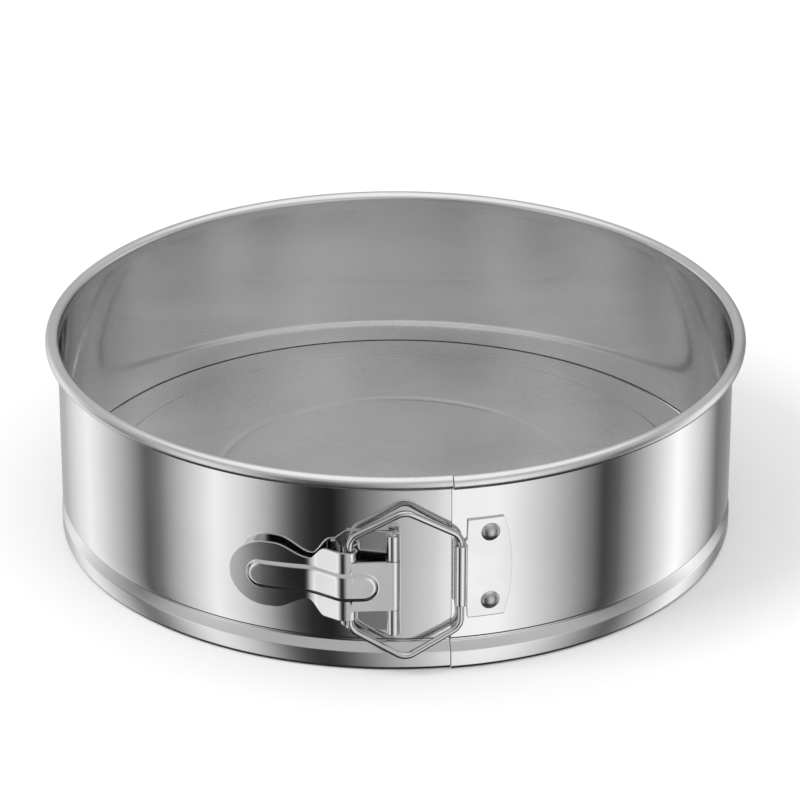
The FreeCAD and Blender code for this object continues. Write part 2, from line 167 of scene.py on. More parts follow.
def chain(name, spots):
    """A line of points: a circle opened at one edge, with each point moved to its place."""
    deselect()
    bpy.ops.mesh.primitive_circle_add(vertices=len(spots), radius=WALL_RADIUS)
    piece = settle(added(name))
    for vertex, spot in zip(piece.data.vertices, spots):
        vertex.co = spot
    ends = {0, len(spots) - 1}
    for part in (*piece.data.vertices, *piece.data.edges):
        part.select = False
    for edge in piece.data.edges:
        edge.select = set(edge.vertices) == ends
    bpy.ops.object.mode_set(mode="EDIT")
    bpy.ops.mesh.select_mode(type="EDGE")
    bpy.ops.mesh.delete(type="EDGE")
    bpy.ops.mesh.select_mode(type="VERT")
    bpy.ops.object.mode_set(mode="OBJECT")
    return piece


def dressed(piece, material, slot, *nodes):
    """Gives a finished piece its material, and hides the solids it stands for."""
    piece.data.materials.clear()
    piece.data.materials.append(material)
    if nodes:
        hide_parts(*nodes)
    print(piece.name, "faces:", len(piece.data.polygons))
    return piece


def placed(piece, body, material, slot, *nodes):
    """Dresses a finished piece and makes it move with a body."""
    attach(dressed(piece, material, slot, *nodes), body)
    return piece


# %% [markdown]
# A procedural finish is a tree of nodes, and its maths is hard to read as a list of links. One
# small class wraps a socket, so that a * b + 1 makes the Math nodes by itself, and one method
# adds any other node with its settings and inputs.


# %% Helpers for materials
class Link:
    """A socket that can be added, multiplied and so on."""

    def __init__(self, finish, socket):
        self.finish, self.socket = finish, socket

    def maths(self, operation, first, second=0.0):
        return self.finish.node("ShaderNodeMath", {"operation": operation}, [first, second])

    def __add__(self, other):
        return self.maths("ADD", self, other)

    def __sub__(self, other):
        return self.maths("SUBTRACT", self, other)

    def __rsub__(self, other):
        return self.maths("SUBTRACT", other, self)

    def __mul__(self, other):
        return self.maths("MULTIPLY", self, other)

    __radd__, __rmul__ = __add__, __mul__


class Finish:
    """A material, built from nodes."""

    def __init__(self, name):
        self.material = bpy.data.materials.new(name)
        self.material.use_nodes = True
        self.tree = self.material.node_tree
        self.shader = self.tree.nodes["Principled BSDF"]

    def node(self, kind, settings=None, inputs=(), output=0):
        made = self.tree.nodes.new(kind)
        for key, value in (settings or {}).items():
            if key == "stops":
                self.stops(made.color_ramp, value)
            else:
                setattr(made, key, value)
        pairs = inputs.items() if isinstance(inputs, dict) else enumerate(inputs)
        for key, value in pairs:
            self.feed(made.inputs[key], value)
        return Link(self, made.outputs[output])

    def feed(self, socket, value):
        if isinstance(value, Link):
            self.tree.links.new(value.socket, socket)
        else:
            socket.default_value = value

    def stops(self, ramp, stops):
        while len(ramp.elements) < len(stops):
            ramp.elements.new(0.5)
        for element, (place, grey) in zip(ramp.elements, stops):
            element.position = place
            element.color = (grey, grey, grey, 1)

    def place(self):
        return self.node("ShaderNodeTexCoord", output="Object")

    def stretched(self, scale):
        """Object coordinates stretched by a factor along each axis."""
        return self.node("ShaderNodeMapping", None, {"Vector": self.place(), "Scale": scale})

    def noise(self, scale, vector, detail=3.0):
        inputs = {"Vector": vector, "Scale": scale, "Detail": detail}
        return self.node("ShaderNodeTexNoise", None, inputs)

    def clamped(self, value, low, high):
        inputs = {"Value": value, "From Min": low, "From Max": high}
        settings = {"interpolation_type": "SMOOTHSTEP"}
        return self.node("ShaderNodeMapRange", settings, inputs)

    def mixed(self, factor, dark, light):
        settings = {"data_type": "RGBA"}
        inputs = {0: factor, 6: (*dark, 1), 7: (*light, 1)}
        return self.node("ShaderNodeMix", settings, inputs, output=2)

    def set(self, **values):
        for key, value in values.items():
            self.feed(self.shader.inputs[key.replace("_", " ")], value)
        return self

    def bump(self, height, distance, strength):
        inputs = {"Height": height, "Distance": distance, "Strength": strength}
        return self.node("ShaderNodeBump", None, inputs)


# %% [markdown]
# The wall is polished steel sheet. It was rolled before it was polished, so very fine lines run
# round it, and handling leaves faint smudges that are only seen as a change of gloss. The rolled
# rim and the foot are touched more and are a little duller. Plain metal with one roughness would
# look like plastic foil, so noise drives the gloss, and stretched noise the fine lines.


# %% Polished steel of the wall
def polished_steel(name, tint, gloss, smudge, rub, fine):
    finish = Finish(name)
    lines = finish.noise(1.0, finish.stretched((14, 14, 900)), 4.0)
    cloud = finish.noise(26.0, finish.place(), 5.0)
    height = finish.node("ShaderNodeSeparateXYZ", None, [finish.place()], output="Z")
    rim = finish.clamped(height, BAND_TOP - 2.3 * RIM_RADIUS, BAND_TOP - 1.6 * RIM_RADIUS)
    foot = 1 - finish.clamped(height, FOOT_TOP, GROOVE_HEIGHT)
    worn = rim * rub + foot * (rub * 0.6)
    roughness = finish.clamped(cloud, 0.35, 0.7) * smudge + worn + gloss
    shade = finish.clamped(cloud, 0.3, 0.8)
    darker = tuple(part * 0.93 for part in tint)
    finish.set(Base_Color=finish.mixed(shade, darker, tint), Metallic=1.0, Roughness=roughness)
    finish.set(Normal=finish.bump(lines, 0.02 * MM, fine))
    return finish.material


STEEL = (0.83, 0.83, 0.835)
wall_gloss = {"gloss": 0.075, "smudge": 0.03, "rub": 0.2, "fine": 0.12}
wall_steel = polished_steel("polished wall steel", STEEL, **wall_gloss)
print("finish:", wall_steel.name, "nodes:", len(wall_steel.node_tree.nodes))

# %% [markdown]
# The wall's section runs from the hem at the foot, over the bead that holds the base, up to the
# edge rolled round a wire at the rim. It could be drawn as a curve by hand. Here it is a line of
# corners, each rounded to its own radius, because sheet metal is bent to radii.


# %% The wall's section
WALL_ROWS = 12
ROLL_STEPS = 40


def rounded(corners, radii, steps=6):
    """A cornered line as points, with an arc in place of each inner corner."""
    points = [corners[0]]
    for before, here, after, radius in zip(corners, corners[1:], corners[2:], radii):
        back, ahead = (before - here).normalized(), (after - here).normalized()
        half = back.angle(ahead) / 2
        centre = here + (back + ahead).normalized() * (radius / math.sin(half))
        start = here + back * (radius / math.tan(half)) - centre
        end = here + ahead * (radius / math.tan(half)) - centre
        turn = start.angle(end)
        for step in range(steps + 1):
            share = step / steps
            arm = start * math.sin((1 - share) * turn) + end * math.sin(share * turn)
            points.append(centre + arm / math.sin(turn))
    points.append(corners[-1])
    return points


def wall_section(radius):
    """Points of radius and height along the middle of the sheet."""
    wall = radius - SHEET / 2
    foot = wall + FOOT_STEP
    roll = RIM_RADIUS - SHEET / 2
    centre = Vector((wall + roll, BAND_TOP - RIM_RADIUS))
    corners = [
        Vector((foot - HEM_LENGTH, SHEET / 2)),
        Vector((foot, SHEET / 2)),
        Vector((foot, FOOT_TOP)),
        Vector((wall - GROOVE_DEPTH, GROOVE_HEIGHT)),
        Vector((wall, GROOVE_TOP)),
        Vector((wall, centre.y)),
    ]
    points = rounded(corners, [FOOT_CORNER, BEAD_CORNER, GROOVE_CORNER, WALL_CORNER])
    top = points.pop()
    rise = top - points[-1]
    points += [points[-1] + rise * row / WALL_ROWS for row in range(1, WALL_ROWS + 1)]
    for step in range(1, ROLL_STEPS + 1):
        turn = math.pi - RIM_TURN * step / ROLL_STEPS
        points.append(centre + Vector((math.cos(turn), math.sin(turn))) * roll)
    return points


print("points in the wall's section:", len(wall_section(WALL_RADIUS)))

# %% [markdown]
# The real wall is one springy strip, bent round and overlapped at the latch. Spinning the section
# round the pan's axis gives it, and then a Solidify modifier gives the sheet its thickness. It is
# made as a front left and a front right stretch, each rigid, and a back stretch between them that
# is tied to neither. The right half stands out a little, to lap over the left one.


# %% Spin the wall
STEP = math.radians(1.25)


def spun(name, section, start, sweep, centre_y=0.0):
    """The section turned about the axis, from one angle to another."""
    spots = [Vector((r * math.sin(start), centre_y - r * math.cos(start), z)) for r, z in section]
    piece = chain(name, spots)

    def turn():
        # The operator counts its angle clockwise, seen from above.
        steps = max(3, round(abs(sweep) / STEP))
        bpy.ops.mesh.spin(steps=steps, angle=-sweep, center=(0, centre_y, 0), axis=(0, 0, 1))

    return in_edit_mode(piece, turn)


def thickened(piece, thickness):
    return modified(piece, "SOLIDIFY", thickness=thickness, offset=0.0, use_even_offset=True)


def joined(first, *others):
    only(first)
    for other in others:
        other.select_set(True)
    bpy.ops.object.join()
    return in_edit_mode(first, lambda: bpy.ops.mesh.remove_doubles(threshold=0.01 * MM))


left_section = wall_section(WALL_RADIUS)
right_section = wall_section(WALL_RADIUS + LAP_SHIFT)
seam_gap = SEAM_GAP / WALL_RADIUS

front_left = spun("wall_front_left", left_section, -quarter, quarter + SEAM - seam_gap)
front_right = spun("wall_front_right", right_section, SEAM, quarter - SEAM, -LAP_SHIFT)
back_left = spun("wall_back", left_section, -2 * quarter, quarter)
back_right = spun("wall_back_right", right_section, quarter, quarter, -LAP_SHIFT)
back = joined(back_left, back_right)
in_edit_mode(back, lambda: bpy.ops.mesh.normals_make_consistent(inside=False))

for piece in (front_left, front_right, back):
    smooth(thickened(piece, SHEET))
placed(front_left, "wall_left", wall_steel, "polished_band", "band_left")
placed(front_right, "wall_right", wall_steel, "polished_band", "band_right")
dressed(back, wall_steel, "polished_band", "band_left", "band_right")

# %% [markdown]
# Behind the overlap, a plain tongue of the left half reaches under the right half, so that no gap
# opens in the wall when the latch lets go. It is spun like the wall, from a straight section that
# ends short of the rim and the bead.

# %% The tongue under the overlap
TONGUE_ANGLE = math.radians(4.2)
TONGUE_MARGIN = 3.0 * MM
TONGUE_ROWS = 6
tongue_low = GROOVE_TOP + TONGUE_MARGIN
tongue_high = BAND_TOP - 2 * RIM_RADIUS - TONGUE_MARGIN
middle = WALL_RADIUS - SHEET / 2
tongue_rise = (tongue_high - tongue_low) / TONGUE_ROWS
tongue_line = [Vector((middle, tongue_low + tongue_rise * row)) for row in range(TONGUE_ROWS + 1)]
tongue = spun("wall_tongue", tongue_line, SEAM - seam_gap, TONGUE_ANGLE + seam_gap)
smooth(thickened(tongue, SHEET))
placed(tongue, "wall_left", wall_steel, "polished_band", "band_left")

# %% [markdown]
# The loose base is satin sheet, and its finish was turned on a lathe, so fine lines run in
# circles. Rings could be painted from an image. Here noise is read at a distance from the axis
# only, which makes it the same all the way round.


# %% Satin steel with turned lines
def turned_steel(name, tint):
    finish = Finish(name)
    times = {"operation": "MULTIPLY"}
    flat = finish.node("ShaderNodeVectorMath", times, [finish.place(), (1, 1, 0)])
    radius = finish.node("ShaderNodeVectorMath", {"operation": "LENGTH"}, [flat], output="Value")
    around = finish.node("ShaderNodeCombineXYZ", None, [radius * 1400, 0.0, 0.0])
    lines = finish.noise(1.0, around, 3.0)
    cloud = finish.noise(18.0, finish.place(), 5.0)
    darker = tuple(part * 0.86 for part in tint)
    finish.set(Base_Color=finish.mixed(finish.clamped(cloud, 0.3, 0.75), darker, tint))
    finish.set(Metallic=1.0, Roughness=finish.clamped(cloud, 0.3, 0.8) * 0.08 + lines * 0.1 + 0.2)
    finish.set(Normal=finish.bump(lines, 0.03 * MM, 0.35))
    return finish.material


base_steel = turned_steel("satin base steel", (0.76, 0.76, 0.765))
print("finish:", base_steel.name, "nodes:", len(base_steel.node_tree.nodes))

# %% [markdown]
# The base is a pressed disc: a rounded step raises its middle, so that it stays flat, and the
# press leaves a shallow ring. Its section is spun a full turn, which keeps the faces even all the
# way round. The doubled points at the axis and the seam are merged.

# %% The base plate
base_low, base_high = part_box("base_plate")
BASE_SHEET = 0.7 * MM
BASE_STEP_WIDTH = 14.0 * MM
STEP_CORNER = 1.0 * MM
RING_SHARE = 0.62
RING_DIP = 0.22 * MM
RING_HALF = 2.0 * MM
RING_CORNER = 3.0 * MM
AXIS_HOLE = 0.02 * MM
BASE_RADIUS = base_high.x
disc_low = base_low.z + BASE_SHEET / 2
disc_high = base_high.z - BASE_SHEET / 2
step_in = BASE_RADIUS - BASE_STEP_WIDTH
ring_radius = step_in * RING_SHARE
base_corners = [
    Vector((BASE_RADIUS, disc_low)),
    Vector((step_in + (disc_high - disc_low), disc_low)),
    Vector((step_in, disc_high)),
    Vector((ring_radius + RING_HALF, disc_high)),
    Vector((ring_radius, disc_high - RING_DIP)),
    Vector((ring_radius - RING_HALF, disc_high)),
    Vector((AXIS_HOLE, disc_high)),
]
base_radii = [STEP_CORNER] * 2 + [RING_CORNER] * 3
base = spun("base", rounded(base_corners, base_radii), 0.0, 4 * quarter)
in_edit_mode(base, lambda: bpy.ops.mesh.remove_doubles(threshold=0.05 * MM),
             lambda: bpy.ops.mesh.normals_make_consistent(inside=False))
smooth(thickened(base, BASE_SHEET), 50)
placed(base, "base", base_steel, "base_sheet", "base_plate")

# %% [markdown]
# The latch is made of small pressed parts in brighter steel. They could be bent from a flat
# outline with a modifier, but a curl right round a pin folds badly that way. Each bent part is a
# path seen on its edge, like a strip bent in a vice, and a fine grid is laid along that path.


# %% A bent path
class Bend:
    """Straight runs and arcs that meet smoothly, measured along their length."""

    def __init__(self, start, heading):
        self.point, self.heading = Vector(start), heading
        self.runs, self.length = [], 0.0

    def run(self, length, turn=0.0):
        """Goes on by a length while turning left by an angle."""
        self.runs.append((self.length, length, self.point.copy(), self.heading, turn))
        self.point, self.heading = self.along(self.runs[-1], length)
        self.length += length
        return self

    def arc(self, radius, turn):
        return self.run(abs(radius * turn), turn)

    @staticmethod
    def along(run, distance):
        _, length, point, heading, turn = run
        if abs(turn) < 1e-9:
            return point + Vector((math.cos(heading), math.sin(heading))) * distance, heading
        radius = length / turn
        now = heading + turn * distance / length
        shift = Vector((math.sin(now) - math.sin(heading), math.cos(heading) - math.cos(now)))
        return point + shift * radius, now

    def at(self, distance):
        """The place at a distance along the path, and the direction to its left."""
        run = [piece for piece in self.runs if piece[0] <= distance + 1e-9][-1]
        point, heading = self.along(run, distance - run[0])
        return point, Vector((-math.sin(heading), math.cos(heading)))


def sheet_on(name, path, columns, rows, outline, rise=None):
    """A grid laid along a path. The outline gives a column's lowest and highest points, and
    rise lifts the sheet to its left."""
    deselect()
    bpy.ops.mesh.primitive_grid_add(x_subdivisions=columns, y_subdivisions=rows, size=2)
    piece = settle(added(name))
    for vertex in piece.data.vertices:
        share, across = (vertex.co.x + 1) / 2, (vertex.co.y + 1) / 2
        distance, low, high = outline(share)
        height = low + (high - low) * across
        point, side = path.at(distance)
        lift = rise(distance, height) if rise else 0.0
        spot = point + side * lift
        vertex.co = (spot.x, spot.y, height)
    return piece


# %% [markdown]
# The lever lies along the wall: a knuckle round the pin, a straight arm, a pair of ears, a waist,
# and a round paddle for the thumb. It drops towards the wall past the ears, then turns back, and
# the paddle follows the wall with a gap for the thumb's edge. Straight runs and arcs that meet
# smoothly give the same clean bends as a press.

# %% The lever's path
CURL_TURN = math.radians(300)
LEVER_SHEET = 1.0 * MM
PIN_BORE = 1.33 * MM
LEVER_RISE = math.radians(2.8)
RISE_RADIUS = 12.0 * MM
DROP = math.radians(34.0)
DROP_X = -15.2 * MM
DROP_RADIUS = 5.0 * MM
DROP_END_X = -24.4 * MM
PADDLE_LEAN = math.radians(10.0)
LEAN_RADIUS = 12.0 * MM
PADDLE_CURVE = 120.0 * MM

pin_low, pin_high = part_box("hinge_pin")
pin = (pin_low + pin_high) / 2
lever_low, lever_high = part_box("lever")
latch_z = (lever_low.z + lever_high.z) / 2
knuckle = PIN_BORE + LEVER_SHEET / 2


def lever_line():
    """From the inner end of the knuckle, round the pin and out to the tip."""
    start = CURL_TURN - quarter
    first = Vector((pin.x + knuckle * math.cos(start), pin.y + knuckle * math.sin(start)))
    path = Bend(first, start - quarter)
    path.arc(knuckle, -CURL_TURN)
    path.knuckle_end = path.length
    path.arc(RISE_RADIUS, LEVER_RISE)
    path.run((path.point.x - DROP_X) / math.cos(LEVER_RISE))
    path.arc(DROP_RADIUS, -LEVER_RISE - DROP)
    path.run((path.point.x - DROP_END_X) / math.cos(DROP))
    path.arc(LEAN_RADIUS, DROP - PADDLE_LEAN)
    reach = (path.point.x - lever_low.x) / PADDLE_CURVE
    path.arc(PADDLE_CURVE, PADDLE_LEAN - math.asin(math.sin(PADDLE_LEAN) + reach))
    return path


lever_path = lever_line()
print("lever's length along its sheet, mm:", round(lever_path.length / MM, 1))

# %% [markdown]
# The outline is a half height for each place along the lever. The waist is eased, because a
# press tool leaves no sharp corner, and the paddle ends in a half circle. A long round-ended rib
# stiffens the lever. It is real relief and not bump, because it catches the light on its edge:
# the grid's points are lifted by their distance from the rib's middle line.


# %% The lever's outline and rib
def ease(value, low, high):
    share = min(1.0, max(0.0, (value - low) / (high - low)))
    return share * share * (3 - 2 * share)


ARM_HALF = 8.65 * MM
EAR_HALF = (lever_high.z - lever_low.z) / 2
WAIST_HALF = 7.2 * MM
PADDLE_RADIUS = 11.3 * MM
EAR_START_X = -13.9 * MM
EAR_END_X = -22.3 * MM
WAIST_X = -27.4 * MM
PADDLE_WIDE_X = -38.6 * MM
EDGE_EASE = 0.1 * MM
RIB_HALF = 5.0 * MM
RIB_RISE = 0.9 * MM
RIB_START = 4.6 * MM
RIB_END = 5.8 * MM
RIB_SLOPE = 1.7 * MM
TIP_HALF = 0.05 * MM
KNUCKLE_SHARE = 0.14
CROWDING = 0.28
LEVER_COLUMNS, LEVER_ROWS = 300, 72
arm_length = lever_path.length - lever_path.knuckle_end


def half_height(x):
    """Half the lever's height at a place along it."""
    half = ARM_HALF + (EAR_HALF - ARM_HALF) * ease(-x, -EAR_START_X, EDGE_EASE - EAR_START_X)
    half -= (EAR_HALF - WAIST_HALF) * ease(-x, -EAR_END_X, -WAIST_X)
    half += (PADDLE_RADIUS - WAIST_HALF) * ease(-x, -WAIST_X, -PADDLE_WIDE_X)
    beyond = max(0.0, lever_low.x + PADDLE_RADIUS - x)
    return max(math.sqrt(max(0.0, half**2 - beyond**2)), TIP_HALF)


def rib_rise(distance, height):
    """How far the rib stands out at a place on the sheet."""
    along = distance - lever_path.knuckle_end
    start = RIB_START + RIB_HALF
    end = arm_length - RIB_END - RIB_HALF
    beyond = max(start - along, 0.0, along - end)
    edge = math.hypot(beyond, height - latch_z)
    return RIB_RISE * (1 - ease(edge, RIB_HALF - RIB_SLOPE, RIB_HALF))


def lever_outline(share):
    """The span of a column. Columns crowd together towards the tip, where the outline turns most."""
    if share < KNUCKLE_SHARE:
        distance = lever_path.knuckle_end * share / KNUCKLE_SHARE
        half = ARM_HALF
    else:
        part = (share - KNUCKLE_SHARE) / (1 - KNUCKLE_SHARE)
        reach = arm_length * ((1 - CROWDING) * part + CROWDING * math.sin(part * quarter))
        distance = lever_path.knuckle_end + min(reach, arm_length)
        half = half_height(lever_path.at(distance)[0].x)
    return distance, latch_z - half, latch_z + half


lever = sheet_on("lever_arm", lever_path, LEVER_COLUMNS, LEVER_ROWS, lever_outline, rib_rise)
print("lever's columns and rows:", LEVER_COLUMNS, LEVER_ROWS)

# %% [markdown]
# Two tabs at the ears are curled round the bail's left leg. They are open on the side away from
# the pin, so the wire can leave them once the lever is well open. They are laid on their own
# short path. Solidify gives every latch part its sheet, and a small bevel softens the cut edges.

# %% The tabs, and the lever's finish
WIRE = 1.12 * MM
TAB_BORE = WIRE + 0.5 * MM
TAB_HEIGHT = 3.2 * MM
TAB_ROOT = 0.1 * MM
TAB_COLUMNS, TAB_ROWS = 40, 8
bail_low, bail_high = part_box("bail")
leg_left_x = bail_low.x + WIRE


def arm_y(x):
    """The middle of the lever's arm, seen from above."""
    return pin.y - knuckle - (pin.x - x) * math.tan(LEVER_RISE)


def tab(name, low):
    start = leg_left_x - TAB_ROOT
    path = Bend((start, arm_y(start)), LEVER_RISE)
    path.run((leg_left_x - start) / math.cos(LEVER_RISE))
    path.arc(TAB_BORE + LEVER_SHEET / 2, math.pi)

    def outline(share):
        return path.length * share, low, low + TAB_HEIGHT

    return sheet_on(name, path, TAB_COLUMNS, TAB_ROWS, outline)


tabs = [tab("tab_upper", lever_high.z - TAB_HEIGHT), tab("tab_lower", lever_low.z)]


def latch_steel(name, tint, gloss, fine):
    """Bright pressed steel, with faint rub marks."""
    finish = Finish(name)
    cloud = finish.noise(70.0, finish.place(), 5.0)
    marks = finish.noise(1.0, finish.stretched((260, 260, 2600)), 3.0)
    roughness = finish.clamped(cloud, 0.35, 0.75) * 0.06 + marks * 0.04 + gloss
    darker = tuple(part * 0.9 for part in tint)
    finish.set(Base_Color=finish.mixed(finish.clamped(cloud, 0.3, 0.8), darker, tint))
    finish.set(Metallic=1.0, Roughness=roughness, Normal=finish.bump(marks, 0.01 * MM, fine))
    return finish.material


lever_steel = latch_steel("bright lever steel", STEEL, gloss=0.07, fine=0.15)
for piece in (lever, *tabs):
    thickened(piece, LEVER_SHEET)
    modified(piece, "BEVEL", width=0.16 * MM, segments=2, limit_method="ANGLE")
    smooth(piece, 40)
placed(lever, "lever", lever_steel, "lever_sheet", "lever")
for piece in tabs:
    placed(piece, "lever", lever_steel, "lever_sheet", "lever")

# %% [markdown]
# The bail is one length of round wire bent into a six-sided loop. Its two ends meet inside the
# catch, and its top and bottom corners bow out, clear of the wall. It could be a skinned edge
# loop, but a curve's bevel keeps the wire truly round, so a line through its corners is turned
# into a curve, given the wire's thickness, and made a mesh again.

# %% The bail
WIRE_BEND = 5.0 * MM
WIRE_END_GAP = 0.2 * MM
APEX_BOW = 1.9 * MM
LEG_HALF = 16.15 * MM
APEX_HALF = 26.25 * MM
LEG_RIGHT_X, LEG_RIGHT_Y = 21.0 * MM, -114.9417 * MM
BEND_STEPS = 10
bail_z = (bail_high.z + bail_low.z) / 2
leg_right = Vector((LEG_RIGHT_X, LEG_RIGHT_Y, 0))
leg_left = Vector((leg_left_x, arm_y(leg_left_x) + LEVER_SHEET / 2 + TAB_BORE, 0))
apex = (leg_left + leg_right) / 2 + Vector((0, -APEX_BOW, 0))
up = Vector((0, 0, 1))
bail_corners = [
    leg_right + up * (bail_z + WIRE_END_GAP / 2),
    leg_right + up * (bail_z + LEG_HALF),
    apex + up * (bail_z + APEX_HALF),
    leg_left + up * (bail_z + LEG_HALF),
    leg_left + up * (bail_z - LEG_HALF),
    apex + up * (bail_z - APEX_HALF),
    leg_right + up * (bail_z - LEG_HALF),
    leg_right + up * (bail_z - WIRE_END_GAP / 2),
]
bail = chain("bail_loop", rounded(bail_corners, [WIRE_BEND] * 6, BEND_STEPS))
only(bail)
bpy.ops.object.convert(target="CURVE")
bail = bpy.context.view_layer.objects.active
bail.data.bevel_depth = WIRE
bail.data.bevel_resolution = 8
bail.data.use_fill_caps = True
bpy.ops.object.convert(target="MESH")
bail = bpy.context.view_layer.objects.active
smooth(bail, 45)
wire_steel = latch_steel("drawn wire steel", (0.74, 0.74, 0.745), gloss=0.1, fine=0.2)
placed(bail, "bail", wire_steel, "bail_wire", "bail")

# %% [markdown]
# The catch plate lies on the right half, follows its curve and is riveted to it. Its left edge is
# narrower and curled round the bail's right leg, and its right edge is bowed. It is laid along
# its own path, as the lever is, and then its right edge is trimmed along the wall to the bow.

# %% The catch plate
PLATE = 0.9 * MM
LAY = 0.05 * MM
CATCH_BORE = WIRE + 0.08 * MM
CATCH_RIGHT_X = 34.6 * MM
CATCH_BULGE = 2.6 * MM
CATCH_CORNER = 1.6 * MM
CURL_HALF = 10.6 * MM
CURL_DROP = 1.0 * MM
SHOULDER_REACH = 2.4 * MM
SHOULDER_CUT = 0.05 * MM
SHOULDER_SHARE = 0.86
TRIM_REACH = 4.0 * MM
FLAT_SHARE = 0.6
CATCH_COLUMNS, CATCH_ROWS = 160, 48
catch_low, catch_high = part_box("catch_plate")
plate_radius = WALL_RADIUS + LAP_SHIFT + LAY + PLATE / 2
plate_z = (catch_low.z + catch_high.z) / 2
plate_half = (catch_high.z - catch_low.z) / 2
curl_angle = math.asin(leg_right.x / (plate_radius + PLATE / 2 + CATCH_BORE))
right_angle = math.asin((CATCH_RIGHT_X + CATCH_BULGE) / plate_radius)
catch_start = Vector((plate_radius * math.sin(right_angle),
                      -LAP_SHIFT - plate_radius * math.cos(right_angle)))
catch_path = Bend(catch_start, math.pi + right_angle)
catch_path.arc(plate_radius, curl_angle - right_angle)
flat_length = catch_path.length
catch_path.arc(CATCH_BORE + PLATE / 2, CURL_TURN)
curl_length = catch_path.length - flat_length
shoulder = flat_length - SHOULDER_REACH


def catch_outline(share):
    """A tall plate that steps in at its shoulder, just before the curl."""
    if share < FLAT_SHARE:
        distance = flat_length * share / FLAT_SHARE
    else:
        distance = flat_length + curl_length * (share - FLAT_SHARE) / (1 - FLAT_SHARE)
    step = ease(distance, shoulder - SHOULDER_CUT, shoulder + SHOULDER_CUT)
    fillet = ease(distance, shoulder, shoulder + CATCH_CORNER)
    narrow = SHOULDER_SHARE * step + (1 - SHOULDER_SHARE) * fillet
    high = plate_z + plate_half - (plate_half - CURL_HALF + CURL_DROP) * narrow
    low = plate_z - plate_half + (plate_half - CURL_HALF - CURL_DROP) * narrow
    return distance, low, high


catch = sheet_on("catch", catch_path, CATCH_COLUMNS, CATCH_ROWS, catch_outline)
for vertex in catch.data.vertices:
    across = (vertex.co.z - plate_z) / plate_half
    trim = ease(vertex.co.x, leg_right.x + TRIM_REACH, CATCH_RIGHT_X + CATCH_BULGE)
    if trim:
        turn = math.asin(vertex.co.x / plate_radius)
        turn -= CATCH_BULGE / plate_radius * trim * across**2
        vertex.co.x = plate_radius * math.sin(turn)
        vertex.co.y = -LAP_SHIFT - plate_radius * math.cos(turn)
catch_steel = latch_steel("bright catch steel", STEEL, gloss=0.08, fine=0.12)
thickened(catch, PLATE)
modified(catch, "BEVEL", width=0.14 * MM, segments=2, limit_method="ANGLE")
smooth(catch, 40)
placed(catch, "wall_right", catch_steel, "latch_sheet", "catch_plate")

# %% [markdown]
# The catch's rivets have pressed, domed heads. A squashed half sphere would stand up too steeply
# at its edge. Here the head is a cap of a larger sphere, sized from its width and height: the
# cap's section is spun about the head's own axis, then the head is turned to face out of the
# wall. The finish is satin, with a soft grain.

# %% The rivets
RIVET_ANGLE = math.radians(15.3)
RIVET_HEAD = 3.1 * MM
RIVET_DOME = 1.7 * MM
RIVET_SINK = 0.02 * MM
DOME_STEPS = 14
AXIS_GAP = 0.001 * MM


def rivet_head(name, node):
    low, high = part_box(node)
    centre = (low + high) / 2
    sphere = (RIVET_HEAD**2 + RIVET_DOME**2) / (2 * RIVET_DOME)
    spread = math.asin(RIVET_HEAD / sphere)
    section = []
    for step in range(DOME_STEPS + 1):
        angle = spread * step / DOME_STEPS
        rise = sphere * math.cos(angle) - sphere + RIVET_DOME
        section.append((sphere * math.sin(angle) + AXIS_GAP, rise))
    section += [(RIVET_HEAD - RIVET_SINK, -LAY), (AXIS_GAP, -LAY)]
    piece = spun(name, section, 0.0, 4 * quarter)
    in_edit_mode(piece, lambda: bpy.ops.mesh.remove_doubles(threshold=0.005 * MM),
                 lambda: bpy.ops.mesh.normals_make_consistent(inside=False))
    face = WALL_RADIUS + LAP_SHIFT + PLATE + 2 * LAY
    front = -LAP_SHIFT - face * math.cos(RIVET_ANGLE)
    piece.rotation_euler = (quarter, 0, RIVET_ANGLE)
    piece.location = (face * math.sin(RIVET_ANGLE), front, centre.z)
    return smooth(settle(piece), 50)


def rivet_steel(name):
    finish = Finish(name)
    cloud = finish.noise(160.0, finish.place(), 4.0)
    finish.set(Base_Color=finish.mixed(cloud, (0.5, 0.5, 0.505), (0.62, 0.62, 0.625)))
    finish.set(Metallic=1.0, Roughness=finish.clamped(cloud, 0.3, 0.7) * 0.12 + 0.26)
    finish.set(Normal=finish.bump(cloud, 0.05 * MM, 0.25))
    return finish.material


rivet_metal = rivet_steel("satin rivet steel")
for level in ("upper", "lower"):
    node = f"catch_rivet_{level}"
    placed(rivet_head(f"rivet_{level}", node), "wall_right", rivet_metal, "rivet_steel", node)

# %% [markdown]
# The hinge plate, the pin and the plate's own rivets are simple shapes, already right in the
# frame, so nothing is gained by making them again. The frame's mesh is loose triangles, which
# shade as flat faces. A merged copy of each gets smooth shading, so that round faces shine evenly.
# The core wires in the rim are hidden, and only get a finish.


# %% Pieces kept from the frame
def polished_copy(node, name):
    only(frame["nodes"][node])
    bpy.ops.object.duplicate()
    piece = added(name)
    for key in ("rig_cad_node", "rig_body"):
        if key in piece:
            del piece[key]
    piece.parent = None
    in_edit_mode(piece, lambda: bpy.ops.mesh.remove_doubles(threshold=0.001 * MM))
    return smooth(piece, 30)


plate_steel = latch_steel("bright plate steel", (0.8, 0.8, 0.805), gloss=0.09, fine=0.15)
pin_steel = latch_steel("turned pin steel", (0.72, 0.72, 0.725), gloss=0.14, fine=0.2)
kept = [
    ("hinge_plate", plate_steel, "latch_sheet"),
    ("hinge_pin", pin_steel, "pin_steel"),
    ("hinge_rivet_upper", rivet_metal, "rivet_steel"),
    ("hinge_rivet_lower", rivet_metal, "rivet_steel"),
]
for node, material, slot in kept:
    placed(polished_copy(node, node + "_fine"), "wall_left", material, slot, node)

